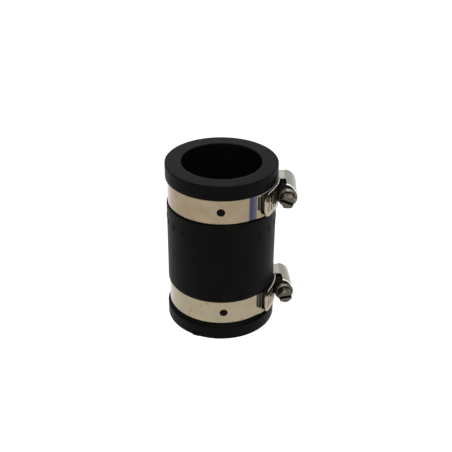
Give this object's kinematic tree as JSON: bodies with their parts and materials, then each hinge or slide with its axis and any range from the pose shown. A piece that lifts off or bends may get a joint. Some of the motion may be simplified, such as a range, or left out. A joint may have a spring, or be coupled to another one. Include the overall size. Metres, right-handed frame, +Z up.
{
  "type": "flexible pipe coupling",
  "caption": "Rubber sleeve coupling that joins two pipe ends, with a worm-drive band clamp near each end.",
  "frame": {"origin": "on the sleeve's axis, in the plane of its lower end face", "axes": "+Z up along the sleeve, +X towards the clamp housings, -Y towards the screw heads"},
  "size_m": [0.0802, 0.068, 0.1068],
  "materials": {
    "rubber": "satin",
    "band_steel": "polished",
    "housing_steel": "polished",
    "screw_steel": "satin"
  },
  "bodies": {
    "sleeve_and_bands": {"sleeve": "rubber", "upper_band": "band_steel", "upper_housing": "housing_steel", "upper_saddle": "housing_steel", "lower_band": "band_steel", "lower_housing": "housing_steel", "lower_saddle": "housing_steel"},
    "upper_tail": {"upper_band_tail": "band_steel"},
    "upper_worm": {"upper_screw": "screw_steel"},
    "lower_tail": {"lower_band_tail": "band_steel"},
    "lower_worm": {"lower_screw": "screw_steel"}
  },
  "joints": [
    {"name": "upper_screw_turn", "type": "hinge", "parent": "sleeve_and_bands", "child": "upper_worm", "pos_m": [0.03938, -0.00124, 0.08944], "axis": [0.0314, 0.9995, 0], "range_deg": [-900, 540]},
    {"name": "upper_tail_draw", "type": "hinge", "parent": "sleeve_and_bands", "child": "upper_tail", "pos_m": [0, 0, 0.08944], "axis": [0, 0, -1], "range_deg": [-13.3, 8]},
    {"name": "lower_screw_turn", "type": "hinge", "parent": "sleeve_and_bands", "child": "lower_worm", "pos_m": [0.03928, 0.00302, 0.01916], "axis": [-0.0767, 0.9971, 0], "range_deg": [-900, 540]},
    {"name": "lower_tail_draw", "type": "hinge", "parent": "sleeve_and_bands", "child": "lower_tail", "pos_m": [0, 0, 0.01916], "axis": [0, 0, -1], "range_deg": [-13.3, 8]}
  ],
  "couplings": [
    {"joint": "upper_tail_draw", "follows": "upper_screw_turn", "ratio": 0.014741},
    {"joint": "lower_tail_draw", "follows": "lower_screw_turn", "ratio": 0.014741}
  ]
}
